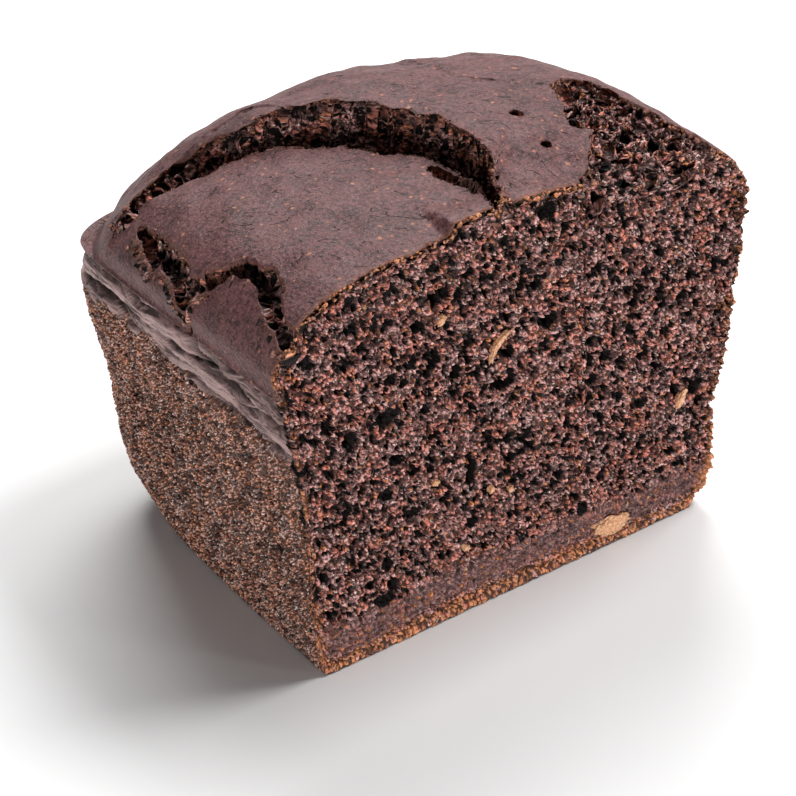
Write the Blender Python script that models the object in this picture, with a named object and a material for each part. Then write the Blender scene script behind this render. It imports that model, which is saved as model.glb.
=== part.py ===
"""Half of a dark chocolate loaf cake, baked in a tin and cut across.

Metres, +Z up.  The cut face is the flat plane at the lowest Y and faces -Y, the
baked end of the loaf faces +Y, and the cake stands on its flat base at Z = 0 with
the origin under the middle of its box.

The whole cake is one solid.  A point of it has three coordinates of its own:
across (-1 left wall, +1 right wall), back (0 cut face, 1 end wall) and a height.
place() turns these into a point, with the tin's draft and rounded corners, and
top_height() gives the height of the risen crust with its cracks and hollows.
"""
import math

import bmesh
import bpy
import numpy as np

MM = 0.001
NAME = "cake"

# Half widths and depth of the tin-baked walls: (height, distance), millimetres.
LEFT_WALL = ((0.0, 45.2), (1.4, 46.0), (9.0, 47.4), (35.0, 47.9), (45.0, 48.8), (57.0, 50.9), (62.0, 52.3))
RIGHT_WALL = ((0.0, 40.5), (3.8, 45.0), (9.0, 46.9), (21.0, 46.2), (33.0, 49.2), (46.0, 50.6), (56.0, 52.2),
              (62.0, 52.3))
END_WALL = ((0.0, 67.5), (3.0, 71.5), (22.0, 81.0), (35.0, 85.5), (50.0, 85.5), (62.0, 80.5))
WALL_TOP = 62.0           # height at which the wall outlines above end
RIM_HEIGHT = 63.0         # the crust leaves the wall in a groove at this height
RIM_FALL = 5.0            # the groove drops by this much towards the end wall
OVERHANG = 1.8            # the crust bulges past the wall above the groove
OVERHANG_RISE = 6.0       # height over which it does so
CORNER_POWER = 6.0        # roundness of the two baked vertical corners

# The risen top.
RISE = 20.6               # height of the crust above the groove
LEFT_ROUND = 0.50         # shoulder curves, smaller is fuller
RIGHT_ROUND = 0.62
ACROSS_POWER = 5.3
BACK_POWER = 3.35
BACK_ROUND = 0.62
BACK_RISE = 6.1           # the crust behind the crack rose further
RISE_BACK = (0.0, 16.0)   # Y over which it builds up from the cut
CORNER_SINK = 1.0         # and sank towards the baked corners
SINK_ACROSS = 5
SINK_BACK = 3
LOW_SIDE = (-42.0, -14.0)  # X over which the extra rise builds up from the left
HIGH_SIDE = (60.0, -6.0)  # and from the right

# Where the risen top is fullest, towards the back: middle X, Y, half widths, height.
HUMP = (-5.0, 66.0, 38.0, 34.0, 3.0)
HUMP_FLAT = 0.25          # share of the half widths over which it is level

# The left baked corner sank: depth, and the X and Y over which it does.
CORNER_DROP = 2.6
DROP_ACROSS = (-26.0, -46.0)
DROP_BACK = (58.0, 74.0)

# The crack in the top: middle line X, Y and half width, from the cut face back.
CRACK = ((-2.0, 1.5, 0.3), (-1.6, 8.0, 0.6), (-0.6, 12.3, 1.2), (0.3, 17.8, 2.1), (-0.6, 23.0, 2.6),
         (-1.9, 28.5, 2.6), (-3.4, 33.2, 2.7), (-6.2, 37.6, 3.0), (-9.7, 41.7, 3.2), (-13.0, 45.4, 3.0),
         (-16.5, 48.3, 1.8), (-21.5, 50.8, 1.3), (-26.5, 53.6, 1.6), (-31.0, 56.5, 2.4), (-37.5, 58.5, 3.0),
         (-43.0, 58.8, 2.6), (-47.5, 58.8, 1.4))
CRACK_DEPTH = 6.5
FRONT_LIP = (-1.15, -0.6)  # shares of the half width over which each wall of it runs
BACK_LIP = (0.1, 1.1)
LIP_STEP = (-0.6, 1.0)     # and over which the crust steps up to the back lip
STEP_HEIGHT = 1.2

# A piece of crust lifted at the cut: X where it starts and ends, height, reach back.
LIFTED = ((-17.0, -13.5), (-4.0, -1.0))
LIFTED_HEIGHT = 2.4
LIFTED_BACK = 14.0

# Crust torn away at the right, next to the cut: outline X, Y, and its depth.
TORN = ((13.0, -4.0), (14.0, 2.0), (17.5, 4.0), (22.0, 10.5), (19.5, 13.0), (24.0, 21.0), (26.5, 28.0),
        (35.0, 30.5), (40.0, 26.0), (42.0, 20.0), (43.5, 15.0), (45.5, 10.0), (48.0, 4.0), (51.0, -4.0))
TORN_DEPTH = 4.0
TORN_EDGE = 2.5

# Rows of small holes along the left shoulder: X, Y, radius, depth.
SHOULDER_HOLES = ((-49.5, 49.0, 2.2, 1.5), (-51.0, 40.5, 2.4, 1.6), (-51.3, 33.0, 2.6, 1.8),
                  (-49.8, 25.0, 2.6, 2.0), (-46.5, 18.5, 3.0, 2.0), (-45.8, 11.0, 2.8, 1.8),
                  (-48.8, 6.0, 2.6, 2.2))

# Soft unevenness of every baked surface: wavelength and height.
WAVE_LENGTH = 31.0
WAVE_HEIGHT = 0.5
WAVE_START = -2.66
WAVE_TURN = 3.0           # how far the wave turns from the cut to the end wall

# Mesh steps.
ACROSS_STEPS = 60
BACK_STEPS = 42
HEIGHT_STEPS = 14

CRUMB_BROWN = (0.055, 0.024, 0.017, 1.0)
CRUMB_ROUGHNESS = 0.8


def smooth(low, high, value):
    """Rise smoothly from 0 at low to 1 at high."""
    t = np.clip((value - low) / (high - low), 0.0, 1.0)
    return t * t * (3.0 - 2.0 * t)


def groove_height(back):
    """Height of the groove between wall and crust."""
    return RIM_HEIGHT - RIM_FALL * back * back


def reach(wall, height, back):
    """Distance of a wall from the middle, or from the cut, at a height."""
    rim = groove_height(back)
    levels, distances = np.array(wall).T
    inside = np.interp(np.minimum(height, rim) * WALL_TOP / rim, levels, distances)
    return inside + OVERHANG * smooth(0.0, OVERHANG_RISE, height - rim)


def place(across, back, height):
    """Turn across, back and height into points in millimetres."""
    across, back, height = np.broadcast_arrays(across, back, height)
    wave = WAVE_HEIGHT * np.sin(height * math.tau / WAVE_LENGTH + WAVE_TURN * back + across + WAVE_START)
    side = np.where(across < 0.0, reach(LEFT_WALL, height, back), reach(RIGHT_WALL, height, back))
    shrink = np.abs(across) ** CORNER_POWER * back ** CORNER_POWER / (2.0 * CORNER_POWER + 1.0)
    x = across * (side + wave * back) * (1.0 - shrink)
    y = back * (reach(END_WALL, height, back) + wave) * (1.0 - shrink)
    return np.stack([x, y, height], axis=-1)


def crack_position(x, y):
    """Signed place across the crack: -1 at the front lip, +1 at the back lip."""
    line = np.array(CRACK)
    best = np.full(x.shape, np.inf)
    across = np.full(x.shape, -9.0)
    for (ax, ay, aw), (bx, by, bw) in zip(line[:-1], line[1:]):
        run = np.array((bx - ax, by - ay))
        length2 = run @ run
        u = np.clip(((x - ax) * run[0] + (y - ay) * run[1]) / length2, 0.0, 1.0)
        off = np.hypot(x - ax - u * run[0], y - ay - u * run[1])
        side = np.sign((x - ax) * run[1] - (y - ay) * run[0])
        width = aw + u * (bw - aw)
        nearer = off < best
        across = np.where(nearer, side * off / width, across)
        best = np.minimum(best, off)
    return across


def crack_valley(across):
    """Depth of the crack, steep under the front lip and rising to the back lip."""
    return smooth(*FRONT_LIP, across) * (1.0 - smooth(*BACK_LIP, across))


def torn_share(x, y):
    """1 well inside the torn place, 0 on whole crust."""
    outline = np.array(TORN)
    inside = np.zeros(x.shape, dtype=bool)
    edge = np.full(x.shape, np.inf)
    for (ax, ay), (bx, by) in zip(outline, np.roll(outline, -1, axis=0)):
        u = np.clip(((x - ax) * (bx - ax) + (y - ay) * (by - ay)) / ((bx - ax) ** 2 + (by - ay) ** 2), 0, 1)
        edge = np.minimum(edge, np.hypot(x - ax - u * (bx - ax), y - ay - u * (by - ay)))
        crosses = (ay > y) != (by > y)
        at = ax + (y - ay) * (bx - ax) / (by - ay if by != ay else 1e-9)
        inside ^= crosses & (x < at)
    return np.where(inside, smooth(0.0, TORN_EDGE, edge), 0.0)


def hump(x, y):
    """Extra rise where the top is fullest."""
    middle_x, middle_y, half_x, half_y, height = HUMP
    off = np.hypot((x - middle_x) / half_x, (y - middle_y) / half_y)
    return height * (1.0 - smooth(HUMP_FLAT, 1.0, off))


def top_height(across, back):
    """Height of the crust, with the crack, the torn place and the holes."""
    rim = groove_height(back)
    power = np.where(across < 0.0, LEFT_ROUND, RIGHT_ROUND)
    over = np.clip(1.0 - np.abs(across) ** ACROSS_POWER, 0.0, 1.0) ** power
    over = over * np.clip(1.0 - back ** BACK_POWER, 0.0, 1.0) ** BACK_ROUND
    over = over * (1.0 - CORNER_SINK * np.abs(across) ** SINK_ACROSS * back ** SINK_BACK)
    plan = place(across, back, rim + RISE * over)
    x, y = plan[..., 0], plan[..., 1]
    position = crack_position(x, y)
    step = smooth(*LIP_STEP, position)
    extra = BACK_RISE * step * smooth(*LOW_SIDE, x) * smooth(*HIGH_SIDE, x) * smooth(*RISE_BACK, y)
    lifted = smooth(*LIFTED[0], x) * (1.0 - smooth(*LIFTED[1], x)) * (1.0 - smooth(0.0, LIFTED_BACK, y))
    height = rim + (RISE + STEP_HEIGHT * step + extra + hump(x, y) + LIFTED_HEIGHT * lifted) * over
    height = height - CORNER_DROP * smooth(*DROP_ACROSS, x) * smooth(*DROP_BACK, y)
    height = height - CRACK_DEPTH * crack_valley(position) * over
    height = height - TORN_DEPTH * torn_share(x, y) * over
    for hole_x, hole_y, radius, depth in SHOULDER_HOLES:
        near = np.hypot(x - hole_x, y - hole_y) / radius
        height = height - depth * (1.0 - smooth(0.0, 1.3, near))
    return np.maximum(height, rim)


def even_steps(count, half_width, power, fullness):
    """Positions 0 to 1 that lie evenly along the curved crust above them."""
    s = np.sin(np.linspace(0.0, math.pi / 2.0, 800))
    rise = RISE * (1.0 - s ** power) ** fullness
    along = np.concatenate([[0.0], np.cumsum(np.hypot(np.diff(s) * half_width, np.diff(rise)))])
    return np.interp(np.linspace(0.0, along[-1], count + 1), along, s)


class Shell:
    """Vertices and faces of the solid; patches share the vertices where they meet."""

    def __init__(self):
        self.bm = bmesh.new()
        self.found = {}

    def vertex(self, point):
        """The vertex at a point, made once."""
        key = tuple(round(float(value), 5) for value in point)
        if key not in self.found:
            self.found[key] = self.bm.verts.new([value * MM for value in key])
        return self.found[key]

    def patch(self, grid, flip):
        """Add the quads of a grid of points, cut into triangles."""
        rows, columns = grid.shape[:2]
        verts = [[self.vertex(grid[i, j]) for j in range(columns)] for i in range(rows)]
        for i in range(rows - 1):
            for j in range(columns - 1):
                ring = [verts[i][j], verts[i + 1][j], verts[i + 1][j + 1], verts[i][j + 1]]
                ring = list(dict.fromkeys(ring))
                if len(ring) > 2:
                    self.bm.faces.new(ring[::-1] if flip else ring)

    def floor(self, outline):
        """Close the flat base with one face."""
        self.bm.faces.new([self.vertex(point) for point in outline])


def build_mesh():
    """Make the closed cake mesh."""
    half = even_steps(ACROSS_STEPS // 2, LEFT_WALL[-1][1], ACROSS_POWER, LEFT_ROUND)
    across = np.concatenate([-half[::-1], half[1:]])
    back = even_steps(BACK_STEPS, END_WALL[-1][1], BACK_POWER, BACK_ROUND)
    share = np.linspace(0.0, 1.0, HEIGHT_STEPS + 1)

    shell = Shell()
    a, b = np.meshgrid(across, back, indexing="ij")
    shell.patch(place(a, b, top_height(a, b)), flip=False)

    a, h = np.meshgrid(across, share, indexing="ij")
    front = top_height(across, 0.0 * across)[:, None]
    shell.patch(place(a, 0.0 * a, h * front), flip=False)
    shell.patch(place(a, 1.0 + 0.0 * a, h * groove_height(1.0)), flip=True)

    b, h = np.meshgrid(back, share, indexing="ij")
    shell.patch(place(-1.0 + 0.0 * b, b, h * groove_height(b)), flip=True)
    shell.patch(place(1.0 + 0.0 * b, b, h * groove_height(b)), flip=False)

    ring = [(value, 0.0) for value in across]
    ring += [(1.0, value) for value in back[1:]]
    ring += [(value, 1.0) for value in across[::-1][1:]]
    ring += [(-1.0, value) for value in back[::-1][1:-1]]
    base = [place(np.array(a), np.array(b), np.array(0.0)) for a, b in ring]
    shell.floor(base[::-1])
    return shell.bm


def centre(bm):
    """Move the mesh so that the origin is under the middle of its box."""
    points = np.array([vert.co[:] for vert in bm.verts])
    low, high = points.min(axis=0), points.max(axis=0)
    shift = -(low + high) / 2.0
    shift[2] = -low[2]
    bmesh.ops.translate(bm, verts=bm.verts, vec=shift)


def crumb_material():
    """Dark chocolate sponge."""
    material = bpy.data.materials.new("chocolate_sponge")
    material.use_nodes = True
    shader = material.node_tree.nodes["Principled BSDF"]
    shader.inputs["Base Color"].default_value = CRUMB_BROWN
    shader.inputs["Roughness"].default_value = CRUMB_ROUGHNESS
    shader.inputs["Metallic"].default_value = 0.0
    return material


def build():
    """Clear the scene and make the cake."""
    for item in list(bpy.data.objects):
        bpy.data.objects.remove(item, do_unlink=True)
    bm = build_mesh()
    centre(bm)
    mesh = bpy.data.meshes.new(NAME)
    bmesh.ops.triangulate(bm, faces=[face for face in bm.faces if len(face.verts) > 4])
    bm.to_mesh(mesh)
    bm.free()
    mesh.shade_smooth()
    mesh.materials.append(crumb_material())
    cake = bpy.data.objects.new(NAME, mesh)
    bpy.context.scene.collection.objects.link(cake)


build()
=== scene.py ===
"""Looks of the cut half of a dark chocolate loaf cake.

The cake's surface is seven fine patches: the cut face, the risen crust in two parts, three
tin-baked walls and the base.  Each patch is one closed piece, a pyramid whose point lies inside
the cake.  CakeForm gives their points, in millimetres from the middle of the cut edge,
geometry nodes press pores and crumb into them, and the finishes colour them.
"""
import logging
import math
from dataclasses import dataclass, field
from enum import Enum
from typing import Any, Optional, Union

import bpy
import numpy as np
from mathutils import Matrix, Vector


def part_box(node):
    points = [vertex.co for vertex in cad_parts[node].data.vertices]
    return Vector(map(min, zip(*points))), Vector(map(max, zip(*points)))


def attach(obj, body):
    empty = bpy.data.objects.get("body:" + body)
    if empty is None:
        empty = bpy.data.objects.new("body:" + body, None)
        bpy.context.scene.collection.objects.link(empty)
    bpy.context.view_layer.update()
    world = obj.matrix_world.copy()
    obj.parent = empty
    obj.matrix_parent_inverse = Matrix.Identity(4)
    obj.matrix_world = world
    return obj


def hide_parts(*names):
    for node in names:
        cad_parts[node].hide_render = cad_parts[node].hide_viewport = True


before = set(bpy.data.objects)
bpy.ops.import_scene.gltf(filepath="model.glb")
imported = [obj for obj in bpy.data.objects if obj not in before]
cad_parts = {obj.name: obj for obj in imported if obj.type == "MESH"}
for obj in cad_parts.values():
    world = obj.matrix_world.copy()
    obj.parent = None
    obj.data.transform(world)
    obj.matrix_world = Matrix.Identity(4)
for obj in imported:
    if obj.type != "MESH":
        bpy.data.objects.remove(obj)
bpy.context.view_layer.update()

LOG = logging.getLogger("cake")
MM = 0.001
# Metres that every piece stays inside the solid's box.
INSET = 0.03 * MM
# Millimetres to an edge where a patch has none.
FAR = 1e3
Colour = tuple[float, float, float]
Number = Union[float, "Wire"]


# ---------------------------------------------------------------- node trees

class Wire:
    """A number in a node tree; arithmetic on it adds Math nodes."""

    def __init__(self, graph: "Graph", socket: bpy.types.NodeSocket) -> None:
        """Hold one output socket of a graph."""
        self.graph = graph
        self.socket = socket

    def _math(self, operation: str, first: Number, second: Number) -> "Wire":
        """Add one Math node and return its result."""
        node = self.graph.node("ShaderNodeMath", {"operation": operation}, {0: first, 1: second})
        return Wire(self.graph, node.outputs[0])

    def __add__(self, other: Number) -> "Wire":
        """self + other."""
        return self._math("ADD", self, other)

    def __radd__(self, other: Number) -> "Wire":
        """other + self."""
        return self._math("ADD", other, self)

    def __sub__(self, other: Number) -> "Wire":
        """self - other."""
        return self._math("SUBTRACT", self, other)

    def __rsub__(self, other: Number) -> "Wire":
        """other - self."""
        return self._math("SUBTRACT", other, self)

    def __mul__(self, other: Number) -> "Wire":
        """self * other."""
        return self._math("MULTIPLY", self, other)

    def __rmul__(self, other: Number) -> "Wire":
        """other * self."""
        return self._math("MULTIPLY", other, self)

    def less(self, other: Number) -> "Wire":
        """1 where self is less than other, else 0."""
        return self._math("LESS_THAN", self, other)

    def larger(self, other: Number) -> "Wire":
        """The larger of self and other."""
        return self._math("MAXIMUM", self, other)

    def rise(self, low: Number, high: Number) -> "Wire":
        """Rise smoothly from 0 at low to 1 at high."""
        node = self.graph.node("ShaderNodeMapRange", {"interpolation_type": "SMOOTHSTEP"},
                               {"Value": self, "From Min": low, "From Max": high})
        return Wire(self.graph, node.outputs["Result"])


class Graph:
    """Adds nodes to a shader or geometry tree."""

    def __init__(self, tree: bpy.types.NodeTree) -> None:
        """Hold the tree that nodes are added to."""
        self.tree = tree

    def node(self, kind: str, settings: Optional[dict[str, Any]] = None,
             inputs: Optional[dict[Union[str, int], Any]] = None) -> bpy.types.Node:
        """Add a node, set its settings, then its inputs.

        Args:
            kind: Blender's name of the node type.
            settings: values of the node's own properties, and stops for a colour ramp.
            inputs: socket name or number to a value, a Wire or a socket.

        Returns:
            The new node.
        """
        made = self.tree.nodes.new(kind)
        for name, value in (settings or {}).items():
            if name == "stops":
                self._ramp(made.color_ramp, value)
            else:
                setattr(made, name, value)
        for key, value in (inputs or {}).items():
            socket = made.inputs[key] if isinstance(key, int) else self._live(made.inputs, key)
            if isinstance(value, Wire):
                value = value.socket
            if isinstance(value, bpy.types.NodeSocket):
                self.tree.links.new(value, socket)
            elif isinstance(value, tuple) and socket.type == "RGBA" and len(value) == 3:
                socket.default_value = (*value, 1.0)
            else:
                socket.default_value = value
        return made

    @staticmethod
    def _live(sockets: Any, name: str) -> bpy.types.NodeSocket:
        """The socket of that name that the node's settings leave in use."""
        return next(socket for socket in sockets if socket.name == name and socket.enabled)

    @staticmethod
    def _ramp(ramp: bpy.types.ColorRamp, stops: list[tuple[float, Colour]]) -> None:
        """Put colour stops into a ramp."""
        while len(ramp.elements) < len(stops):
            ramp.elements.new(0.5)
        for element, (place, colour) in zip(ramp.elements, stops):
            element.position = place
            element.color = (*colour, 1.0)

    def out(self, node: bpy.types.Node, name: str) -> bpy.types.NodeSocket:
        """A node's output in use."""
        return self._live(node.outputs, name)

    def wire(self, node: bpy.types.Node, name: str) -> Wire:
        """A node's output as a number."""
        return Wire(self, self.out(node, name))

    def mark(self, name: str, kind: str = "FLOAT") -> bpy.types.NodeSocket:
        """One of the mesh's marks, in a geometry tree."""
        node = self.node("GeometryNodeInputNamedAttribute", {"data_type": kind}, {"Name": name})
        return self.out(node, "Attribute")

    def note(self, geometry: bpy.types.NodeSocket, name: str, value: Any,
             domain: str = "POINT") -> bpy.types.NodeSocket:
        """Write a number into a geometry under a name."""
        node = self.node("GeometryNodeStoreNamedAttribute", {"data_type": "FLOAT", "domain": domain},
                         {"Geometry": geometry, "Name": name, "Value": value})
        return node.outputs[0]

    def close(self, geometry: bpy.types.NodeSocket, material: bpy.types.Material) -> None:
        """Make a geometry real, give it its finish and lead it out of the tree."""
        whole = self.node("GeometryNodeRealizeInstances", {}, {"Geometry": geometry})
        dressed = self.node("GeometryNodeSetMaterial", {},
                            {"Geometry": whole.outputs[0], "Material": material})
        self.node("NodeGroupOutput", {}, {0: dressed.outputs[0]})

    def vector(self, operation: str, first: Any, second: Any = None,
               scale: Number = 1.0) -> bpy.types.NodeSocket:
        """Add one Vector Math node and return its vector."""
        inputs: dict[Union[str, int], Any] = {0: first}
        if operation == "SCALE":
            inputs["Scale"] = scale
        else:
            inputs[1] = second
        return self.node("ShaderNodeVectorMath", {"operation": operation}, inputs).outputs[0]

    def noise(self, place: Any, size: float, detail: float = 2.0, rough: float = 0.5) -> Wire:
        """Soft noise 0 to 1 whose lumps are about size millimetres."""
        node = self.node("ShaderNodeTexNoise", {"noise_dimensions": "3D"},
                         {"Vector": place, "Scale": 1.0 / size, "Detail": detail, "Roughness": rough})
        return self.wire(node, "Fac")

    def warp(self, place: Any, size: float, amount: float) -> bpy.types.NodeSocket:
        """Push places about by up to half of amount, in lumps of a size."""
        node = self.node("ShaderNodeTexNoise", {"noise_dimensions": "3D"},
                         {"Vector": place, "Scale": 1.0 / size, "Detail": 1.0})
        push = self.vector("SUBTRACT", self.out(node, "Color"), (0.5, 0.5, 0.5))
        return self.vector("ADD", place, self.vector("SCALE", push, scale=amount))

    def cells(self, place: Any, size: float, seed: float) -> tuple[Wire, list[Wire]]:
        """Random cells: the distance to the cell's middle and three numbers of the cell."""
        moved = self.vector("ADD", place, (13.1 * seed, 7.7 * seed, 3.3 * seed))
        node = self.node("ShaderNodeTexVoronoi", {"voronoi_dimensions": "3D", "feature": "F1"},
                         {"Vector": moved, "Scale": 1.0 / size, "Randomness": 1.0})
        parts = self.node("ShaderNodeSeparateXYZ", {}, {0: self.out(node, "Color")})
        return self.wire(node, "Distance"), [Wire(self, socket) for socket in parts.outputs]

    def pores(self, place: Any, pore: "Pore") -> Wire:
        """Depth of one kind of pore, in millimetres."""
        distance, (chance, width, depth) = self.cells(place, pore.cell, pore.seed)
        size = (0.6 + 0.8 * width) * (pore.radius / pore.cell)
        hole = 1.0 - distance.rise(size * pore.floor, size)
        return hole * chance.less(pore.share) * (0.5 + 0.5 * depth) * pore.depth

    def mix(self, factor: Number, first: Any, second: Any) -> bpy.types.NodeSocket:
        """Mix two colours."""
        node = self.node("ShaderNodeMix", {"data_type": "RGBA"}, {"Factor": factor, "A": first, "B": second})
        return self.out(node, "Result")

    def ramp(self, factor: Number, stops: list[tuple[float, Colour]]) -> bpy.types.NodeSocket:
        """A colour read from a ramp."""
        return self.node("ShaderNodeValToRGB", {"stops": stops}, {"Fac": factor}).outputs["Color"]


@dataclass(frozen=True)
class Pore:
    """One kind of pore: sizes in millimetres, share of cells that hold one."""
    cell: float
    radius: float
    depth: float
    share: float
    seed: float
    floor: float = 0.35


# ---------------------------------------------------------------- form

def smooth(low: float, high: float, value: np.ndarray) -> np.ndarray:
    """Rise smoothly from 0 at low to 1 at high."""
    share = np.clip((value - low) / (high - low), 0.0, 1.0)
    return share * share * (3.0 - 2.0 * share)


def grain(points: np.ndarray, size: float, seed: float) -> np.ndarray:
    """Smooth random numbers -1 to 1 in lumps of a size.

    Args:
        points: array whose last axis holds x, y, z.
        size: size of the lumps, in the units of the points.
        seed: picks another pattern.

    Returns:
        One number for each point.
    """
    cell = np.floor(points / size)
    part = points / size - cell
    part = part * part * (3.0 - 2.0 * part)
    total = np.zeros(points.shape[:-1])
    for corner in np.ndindex(2, 2, 2):
        key = (cell + corner) @ np.array([127.1, 311.7, 74.7]) + seed * 19.19
        value = np.sin(key) * 43758.5453
        weight = np.prod(np.where(np.array(corner) == 1, part, 1.0 - part), axis=-1)
        total += weight * (value - np.floor(value))
    return total * 2.0 - 1.0


Profile = tuple[tuple[float, float], ...]
Route = tuple[tuple[float, float, float], ...]


@dataclass
class CrustShape:
    """The crust, place by place: its height and how far it is torn open.

    opened is 0 on whole crust and 1 on bare crumb, gloom is 0 in the light and 1 deep in a
    crack, and under is 1 right under the lips of the crack.  The finishes paint shade by gloom
    and paint shadow by under.
    """
    height: np.ndarray
    opened: np.ndarray
    gloom: np.ndarray
    under: np.ndarray


@dataclass
class CakeForm:
    """The cake's outer form, in millimetres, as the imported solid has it."""
    left_wall: Profile = ((0.0, 45.2), (1.4, 46.0), (9.0, 47.4), (35.0, 47.9), (45.0, 48.8), (57.0, 50.9),
                          (62.0, 52.3))
    right_wall: Profile = ((0.0, 40.5), (3.8, 45.0), (9.0, 46.9), (21.0, 46.2), (33.0, 49.2), (46.0, 50.6),
                           (56.0, 52.2), (62.0, 52.3))
    end_wall: Profile = ((0.0, 67.5), (3.0, 71.5), (22.0, 81.0), (35.0, 85.5), (50.0, 85.5), (62.0, 80.5))
    wall_top: float = 62.0
    rim_height: float = 63.0
    rim_fall: float = 5.0
    overhang: float = 1.8
    overhang_rise: float = 6.0
    corner_power: float = 6.0
    rise: float = 20.6
    left_round: float = 0.50
    right_round: float = 0.62
    across_power: float = 5.3
    back_power: float = 3.35
    back_round: float = 0.62
    back_rise: float = 6.1
    low_side: tuple[float, float] = (-42.0, -14.0)
    high_side: tuple[float, float] = (60.0, -6.0)
    rise_back: tuple[float, float] = (0.0, 16.0)
    sink_across: int = 5
    sink_back: int = 3
    hump: tuple[float, float, float, float, float] = (-5.0, 66.0, 38.0, 34.0, 3.0)
    hump_flat: float = 0.25
    corner_drop: float = 2.6
    drop_across: tuple[float, float] = (-26.0, -46.0)
    drop_back: tuple[float, float] = (58.0, 74.0)
    crack: Route = (
        (-5.8, 1.3, 0.4), (-3.0, 6.0, 0.5), (-1.2, 10.5, 0.6), (-0.6, 16.5, 0.7), (-0.1, 22.8, 1.1),
        (-1.3, 29.0, 2.1), (-2.8, 33.0, 2.3), (-5.3, 37.0, 2.2), (-9.1, 41.2, 2.3), (-12.6, 45.3, 2.4),
        (-17.5, 48.5, 1.8), (-22.2, 51.0, 1.1), (-25.5, 53.2, 1.5), (-29.0, 56.0, 2.6), (-32.8, 58.8, 3.2),
        (-37.2, 60.3, 3.8), (-42.0, 60.0, 3.4), (-46.5, 59.3, 1.8))
    crack_depth: float = 6.5
    front_lip: tuple[float, float] = (-1.08, -0.8)
    back_lip: tuple[float, float] = (0.0, 1.0)
    # Painted shadow under the lips of the crack: where it starts, is full, ends and stops, as shares of the
    # crack's half width; under_tears is its share in the tears.
    under_lip: tuple[float, float, float, float] = (0.42, 0.68, 0.86, 0.98)
    under_tears: float = 0.8
    lip_step: tuple[float, float] = (-0.5, 1.0)
    step_height: float = 1.2
    lifted: tuple[tuple[float, float], tuple[float, float]] = ((-16.5, -14.5), (-4.0, -1.0))
    lifted_height: float = 2.4
    lifted_back: float = 14.0
    torn: tuple[tuple[float, float], ...] = (
        (12.5, -4.0), (13.8, 1.9), (17.1, 3.0), (23.3, 10.8), (19.8, 12.9), (26.9, 25.3), (28.2, 29.2),
        (34.0, 31.5), (37.5, 31.0), (39.5, 27.5), (40.6, 22.0), (42.2, 16.8), (44.2, 12.0), (45.6, 5.2),
        (48.0, -4.0))
    torn_depth: float = 4.0
    torn_edge: float = 1.6
    torn_shallow: tuple[float, float, float] = (28.0, 41.0, 2.2)
    slit: Route = (
        (-4.0, 22.5, 0.4), (-3.7, 19.4, 0.8), (-3.4, 16.8, 0.5), (-2.9, 13.1, 1.0), (-2.7, 9.8, 0.5))
    slit_depth: float = 2.6
    ledge: Route = (
        (9.0, 67.0, 0.8), (13.8, 62.9, 0.8), (16.7, 59.3, 0.8), (18.3, 52.3, 0.8), (17.0, 45.0, 0.8),
        (18.0, 40.3, 0.8), (21.6, 35.9, 0.8), (24.9, 31.1, 0.8), (27.9, 28.9, 0.8))
    tongue: Route = (
        (-40.0, 62.0, 0.8), (-28.8, 61.5, 1.2), (-19.0, 60.5, 1.4), (-15.5, 54.0, 1.0), (-16.5, 50.0, 0.6))
    ledge_depth: float = 0.7
    # Share of painted shade along the ledges and the tongue.
    nick_gloom: float = 0.22
    craters: tuple[tuple[float, float, float, float], ...] = ((13.1, 19.6, 1.2, 0.7), (12.2, 10.0, 0.6, 0.7))
    undulation: float = 1.3
    back_swell: float = 0.8
    swell_back: tuple[float, float] = (42.0, 58.0)
    swell_middle: float = 0.33
    rim_grooves: tuple[float, float] = (3.4, 8.8)
    rim_groove_depth: float = 1.5
    left_tear: Route = (
        (-47.1, 52.2, 0.8), (-48.6, 46.3, 0.6), (-49.5, 41.5, 1.4), (-49.8, 37.8, 0.9), (-50.6, 33.3, 1.3),
        (-51.2, 29.5, 1.4))
    front_tear: Route = (
        (-50.6, 29.9, 0.8), (-49.7, 26.7, 1.0), (-48.4, 25.3, 1.4), (-46.4, 23.1, 1.0), (-45.3, 20.1, 1.6),
        (-44.2, 16.4, 1.5), (-44.4, 13.4, 1.2), (-46.9, 8.5, 1.5), (-48.8, 3.7, 0.8), (-49.6, 0.8, 0.8))
    tear_depth: float = 2.6
    torn_slope: float = 2.4
    torn_slope_back: float = 5.0
    flake_height: float = 1.3
    holes: tuple[tuple[float, float, float, float, float], ...] = (
        (-3.5, 46.8, 2.7, 1.3, 0.1), (-11.2, 30.8, 1.5, 3.2, 0.1), (-19.3, 57.6, 1.9, 1.3, -0.2),
        (-14.6, 53.7, 1.7, 1.2, 0.1), (-23.0, 66.7, 1.6, 1.3, 0.2), (-41.6, 55.3, 1.0, 1.5, 0.0),
        (-27.3, 40.3, 1.7, 1.2, 0.2), (-23.6, 36.3, 1.3, 1.1, 0.0), (17.3, 63.4, 1.5, 1.1, 0.3),
        (3.9, 65.0, 1.2, 1.3, 0.2), (-13.9, 69.9, 1.3, 1.7, 0.6), (-18.7, 70.7, 1.3, 1.8, 0.6),
        (25.9, 53.2, 1.0, 1.4, 0.3), (32.5, 53.0, 1.2, 1.0, 0.2), (18.8, 43.3, 1.1, 1.3, 0.0),
        (-19.1, 41.8, 1.4, 1.0, 0.1), (-45.5, 26.8, 0.9, 1.3, 0.0), (-34.8, 20.1, 3.2, 0.5, 0.15),
        (-14.0, 81.6, 3.0, 0.9, -0.35), (-2.6, 53.6, 1.5, 1.4, 0.0))
    hole_depth_full: float = 4.2
    wave_length: float = 31.0
    wave_height: float = 0.5
    wave_start: float = -2.66
    wave_turn: float = 3.0
    core: tuple[float, float, float] = (0.0, 36.0, 40.0)
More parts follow.
